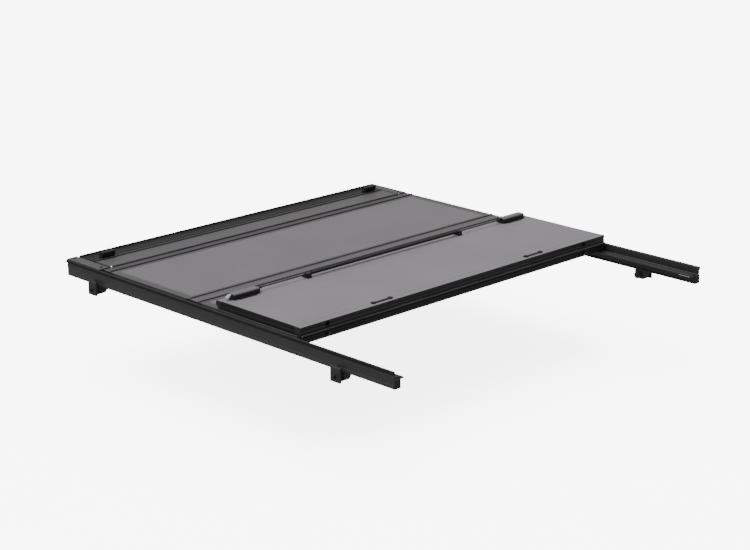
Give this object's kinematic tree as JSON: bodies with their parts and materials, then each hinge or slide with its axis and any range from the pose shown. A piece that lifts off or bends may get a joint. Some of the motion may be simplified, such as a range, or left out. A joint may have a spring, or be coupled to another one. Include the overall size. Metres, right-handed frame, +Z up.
{
  "type": "tonneau cover",
  "caption": "Hard folding pickup bed cover: charcoal sandwich panels on piano hinges over clamp-on side rails, rear panel folded forward, spring latches and pull cable.",
  "frame": {"origin": "middle of the header's seat on the bulkhead, level with the top of the bed caps", "axes": "+X to the bed's right side, +Y forward to the cab, +Z up"},
  "size_m": [1.624, 1.688, 0.1485],
  "materials": {
    "skin_coat": "matt textured powder coat on aluminium sheet, charcoal",
    "back_coat": "matt textured powder coat on aluminium sheet, charcoal, underside",
    "frame_grey": "matt dark grey powder coat on aluminium extrusion",
    "rail_black": "black anodised extrusion",
    "rubber": "matt black EPDM",
    "core_white": "natural polypropylene twin wall",
    "plastic_black": "fine textured black nylon",
    "plastic_grey": "dark grey moulded cap",
    "cast_black": "black coated die casting",
    "steel_bright": "bright plated steel",
    "steel_zinc": "zinc plated steel",
    "steel_black": "black plated steel"
  },
  "bodies": {
    "bed_frame": {"side_rail_left": "rail_black", "side_rail_right": "rail_black", "rail_seals": "rubber", "rail_end_caps": "plastic_grey", "latch_strikers": "steel_zinc", "header_beam": "frame_grey", "header_end_blocks": "frame_grey", "header_bumpers": "rubber", "bulkhead_seal": "rubber", "header_hinge_pin": "steel_zinc", "frame_screws": "steel_black", "clamp_bodies": "cast_black"},
    "panel_1": {"panel_1_plate": "frame_grey", "panel_1_end_caps": "plastic_grey"},
    "link_1": {"hinge_link_1": "frame_grey", "hinge_1_pins": "steel_zinc"},
    "panel_2": {"panel_2_core": "core_white", "panel_2_top_skin": "skin_coat", "panel_2_bottom_skin": "back_coat", "panel_2_side_frames": "frame_grey", "panel_2_front_rail": "frame_grey", "panel_2_rear_rail": "frame_grey", "prop_rod_brackets": "steel_black"},
    "link_2": {"hinge_link_2": "frame_grey", "hinge_2_pins": "steel_zinc"},
    "panel_3": {"panel_3_core": "core_white", "panel_3_top_skin": "skin_coat", "panel_3_bottom_skin": "back_coat", "panel_3_side_frames": "frame_grey", "panel_3_front_rail": "frame_grey", "panel_3_rear_rail": "frame_grey", "panel_3_guide_knobs": "rubber", "hinge_3_pin": "steel_zinc"},
    "panel_4": {"panel_4_core": "core_white", "panel_4_top_skin": "skin_coat", "panel_4_bottom_skin": "back_coat", "panel_4_side_frames": "frame_grey", "panel_4_front_rail": "frame_grey", "panel_4_rear_rail": "frame_grey", "tailgate_seal": "rubber", "latch_housings": "plastic_black", "cable_clips": "plastic_black", "fold_bumpers": "rubber", "panel_4_screws": "steel_black", "release_cable": "steel_black", "latch_spring_left": "steel_zinc", "latch_spring_right": "steel_zinc"},
    "release_grip": {"release_sleeve": "plastic_black"},
    "bolt_left": {"latch_bolt_left": "steel_bright"},
    "bolt_right": {"latch_bolt_right": "steel_bright"},
    "prop_left": {"prop_rod_left": "steel_black"},
    "prop_right": {"prop_rod_right": "steel_black"},
    "jaw_front_left": {"clamp_jaw_front_left": "cast_black"},
    "knob_front_left": {"clamp_knob_front_left": "plastic_black"},
    "jaw_front_right": {"clamp_jaw_front_right": "cast_black"},
    "knob_front_right": {"clamp_knob_front_right": "plastic_black"},
    "jaw_rear_left": {"clamp_jaw_rear_left": "cast_black"},
    "knob_rear_left": {"clamp_knob_rear_left": "plastic_black"},
    "jaw_rear_right": {"clamp_jaw_rear_right": "cast_black"},
    "knob_rear_right": {"clamp_knob_rear_right": "plastic_black"}
  },
  "joints": [
    {"name": "header_hinge", "type": "hinge", "parent": "bed_frame", "child": "panel_1", "pos_m": [0, -0.063, 0.00325], "axis": [-1, 0, 0], "range_deg": [0, 84]},
    {"name": "link_1_front", "type": "hinge", "parent": "panel_1", "child": "link_1", "pos_m": [0, -0.163, 0.00325], "axis": [-1, 0, 0], "range_deg": [0, 3]},
    {"name": "link_1_rear", "type": "hinge", "parent": "link_1", "child": "panel_2", "pos_m": [0, -0.206, 0.00325], "axis": [-1, 0, 0], "range_deg": [0, 3]},
    {"name": "link_2_front", "type": "hinge", "parent": "panel_2", "child": "link_2", "pos_m": [0, -0.647, 0.00325], "axis": [-1, 0, 0], "range_deg": [0, 90]},
    {"name": "link_2_rear", "type": "hinge", "parent": "link_2", "child": "panel_3", "pos_m": [0, -0.7, 0.00325], "axis": [-1, 0, 0], "range_deg": [0, 90]},
    {"name": "rear_panel_hinge", "type": "hinge", "parent": "panel_3", "child": "panel_4", "pos_m": [0, -1.217, 0.00325], "axis": [-1, 0, 0], "range_deg": [-180, 0]},
    {"name": "release_pull", "type": "slide", "parent": "panel_4", "child": "release_grip", "axis": [0, 1, 0], "range_m": [0, 0.024], "stiffness_N_per_m": 900, "springref_m": -0.01},
    {"name": "bolt_left_slide", "type": "slide", "parent": "panel_4", "child": "bolt_left", "axis": [1, 0, 0], "range_m": [0, 0.016], "stiffness_N_per_m": 600, "springref_m": -0.01, "deforming": ["latch_spring_left"]},
    {"name": "bolt_right_slide", "type": "slide", "parent": "panel_4", "child": "bolt_right", "axis": [-1, 0, 0], "range_m": [0, 0.016], "stiffness_N_per_m": 600, "springref_m": -0.01, "deforming": ["latch_spring_right"]},
    {"name": "prop_left_hinge", "type": "hinge", "parent": "panel_2", "child": "prop_left", "pos_m": [-0.728, -0.232, -0.033], "axis": [1, 0, 0], "range_deg": [0, 123.26]},
    {"name": "prop_right_hinge", "type": "hinge", "parent": "panel_2", "child": "prop_right", "pos_m": [0.728, -0.232, -0.033], "axis": [1, 0, 0], "range_deg": [0, 123.26]},
    {"name": "knob_front_left_turn", "type": "hinge", "parent": "bed_frame", "child": "knob_front_left", "pos_m": [-0.744, -0.13, -0.076], "axis": [1, 0, 0], "range_deg": [0, 1800.01]},
    {"name": "jaw_front_left_slide", "type": "slide", "parent": "bed_frame", "child": "jaw_front_left", "axis": [-1, 0, 0], "range_m": [0, 0.01]},
    {"name": "knob_front_right_turn", "type": "hinge", "parent": "bed_frame", "child": "knob_front_right", "pos_m": [0.744, -0.13, -0.076], "axis": [-1, 0, 0], "range_deg": [0, 1800.01]},
    {"name": "jaw_front_right_slide", "type": "slide", "parent": "bed_frame", "child": "jaw_front_right", "axis": [1, 0, 0], "range_m": [0, 0.01]},
    {"name": "knob_rear_left_turn", "type": "hinge", "parent": "bed_frame", "child": "knob_rear_left", "pos_m": [-0.744, -1.4, -0.076], "axis": [1, 0, 0], "range_deg": [0, 1800.01]},
    {"name": "jaw_rear_left_slide", "type": "slide", "parent": "bed_frame", "child": "jaw_rear_left", "axis": [-1, 0, 0], "range_m": [0, 0.01]},
    {"name": "knob_rear_right_turn", "type": "hinge", "parent": "bed_frame", "child": "knob_rear_right", "pos_m": [0.744, -1.4, -0.076], "axis": [-1, 0, 0], "range_deg": [0, 1800.01]},
    {"name": "jaw_rear_right_slide", "type": "slide", "parent": "bed_frame", "child": "jaw_rear_right", "axis": [1, 0, 0], "range_m": [0, 0.01]}
  ],
  "couplings": [
    {"joint": "link_1_rear", "follows": "link_1_front", "ratio": 1},
    {"joint": "link_2_rear", "follows": "link_2_front", "ratio": 1},
    {"joint": "bolt_left_slide", "follows": "release_pull", "ratio": 0.6666},
    {"joint": "bolt_right_slide", "follows": "release_pull", "ratio": 0.6666},
    {"joint": "knob_front_left_turn", "follows": "jaw_front_left_slide", "rad_per_m": 3141.6},
    {"joint": "knob_front_right_turn", "follows": "jaw_front_right_slide", "rad_per_m": 3141.6},
    {"joint": "knob_rear_left_turn", "follows": "jaw_rear_left_slide", "rad_per_m": 3141.6},
    {"joint": "knob_rear_right_turn", "follows": "jaw_rear_right_slide", "rad_per_m": 3141.6}
  ]
}
